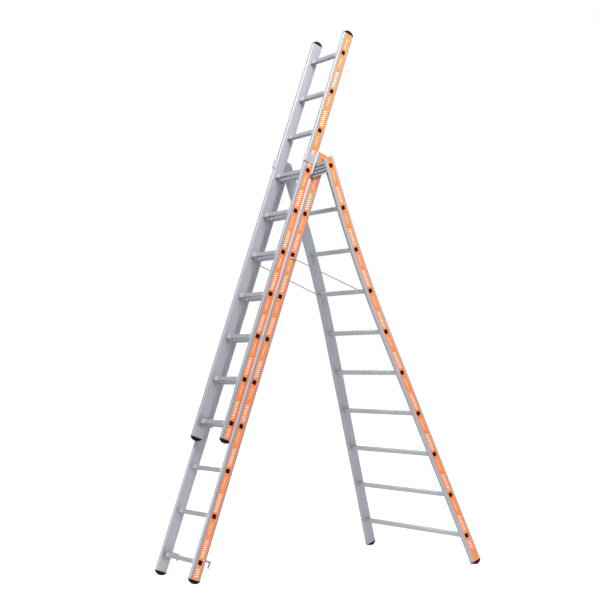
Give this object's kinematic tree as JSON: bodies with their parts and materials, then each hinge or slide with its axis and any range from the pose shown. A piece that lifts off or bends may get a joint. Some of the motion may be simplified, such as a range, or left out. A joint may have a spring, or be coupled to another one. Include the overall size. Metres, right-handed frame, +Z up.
{
  "type": "combination extension ladder",
  "caption": "Aluminium combination ladder standing as an A-frame, with a flared rear leg, a hinged top and a top section that slides up the front leg on hooks.",
  "frame": {"origin": "on the floor, below the middle of the ladder's box as it stands open", "axes": "+X along the rungs to the ladder's right as seen from the front leg, +Y from the front leg to the rear leg, +Z up"},
  "size_m": [1.136, 1.969, 3.4577],
  "materials": {
    "mill_aluminium": "extruded, mill finish",
    "bracket_aluminium": "extruded, cut to length",
    "black_rubber": "moulded, matt",
    "black_plastic": "moulded, matt",
    "orange_film": "printed film, satin",
    "hinge_casting": "cast, dark grey",
    "black_steel": "blackened",
    "zinc_steel": "zinc plated",
    "stay_cable": "stranded wire"
  },
  "bodies": {
    "front_section": {"front_feet": "black_rubber", "front_hook_rivets": "zinc_steel", "front_hooks": "zinc_steel", "front_labels": "orange_film", "front_left_stile": "mill_aluminium", "front_right_stile": "mill_aluminium", "front_rung_01": "mill_aluminium", "front_rung_02": "mill_aluminium", "front_rung_03": "mill_aluminium", "front_rung_04": "mill_aluminium", "front_rung_05": "mill_aluminium", "front_rung_06": "mill_aluminium", "front_rung_07": "mill_aluminium", "front_rung_08": "mill_aluminium", "front_rung_09": "mill_aluminium", "front_rung_10": "mill_aluminium", "front_rung_plugs": "black_plastic", "guide_brackets": "bracket_aluminium", "guide_rivets": "zinc_steel", "hinge_pins": "zinc_steel", "hinge_washers": "zinc_steel", "stay_eyes": "zinc_steel", "stay_left": "stay_cable", "stay_right": "stay_cable"},
    "extension_section": {"extension_end_caps": "black_rubber", "extension_hook_rivets": "zinc_steel", "extension_hooks": "zinc_steel", "extension_labels": "orange_film", "extension_left_stile": "mill_aluminium", "extension_right_stile": "mill_aluminium", "extension_rung_01": "mill_aluminium", "extension_rung_02": "mill_aluminium", "extension_rung_03": "mill_aluminium", "extension_rung_04": "mill_aluminium", "extension_rung_05": "mill_aluminium", "extension_rung_06": "mill_aluminium", "extension_rung_07": "mill_aluminium", "extension_rung_08": "mill_aluminium", "extension_rung_09": "mill_aluminium", "extension_rung_10": "mill_aluminium", "extension_rung_plugs": "black_plastic"},
    "rear_section": {"hinge_block_left": "hinge_casting", "hinge_block_right": "hinge_casting", "hinge_bolts": "black_steel", "rear_feet": "black_rubber", "rear_labels": "orange_film", "rear_left_stile": "mill_aluminium", "rear_right_stile": "mill_aluminium", "rear_rung_01": "mill_aluminium", "rear_rung_02": "mill_aluminium", "rear_rung_03": "mill_aluminium", "rear_rung_04": "mill_aluminium", "rear_rung_05": "mill_aluminium", "rear_rung_06": "mill_aluminium", "rear_rung_07": "mill_aluminium", "rear_rung_08": "mill_aluminium", "rear_rung_09": "mill_aluminium", "rear_rung_10": "mill_aluminium", "rear_rung_plugs": "black_plastic", "stay_clamps": "zinc_steel"}
  },
  "joints": [
    {"name": "rear_fold", "type": "hinge", "parent": "front_section", "child": "rear_section", "pos_m": [0, -0.03677, 2.56076], "axis": [1, 0, 0], "range_deg": [-39.8, 0], "deforming": ["stay_left", "stay_right"]},
    {"name": "extension_slide", "type": "slide", "parent": "front_section", "child": "extension_section", "axis": [0, 0.3355, 0.9421], "range_m": [-0.84, 0.84]}
  ]
}
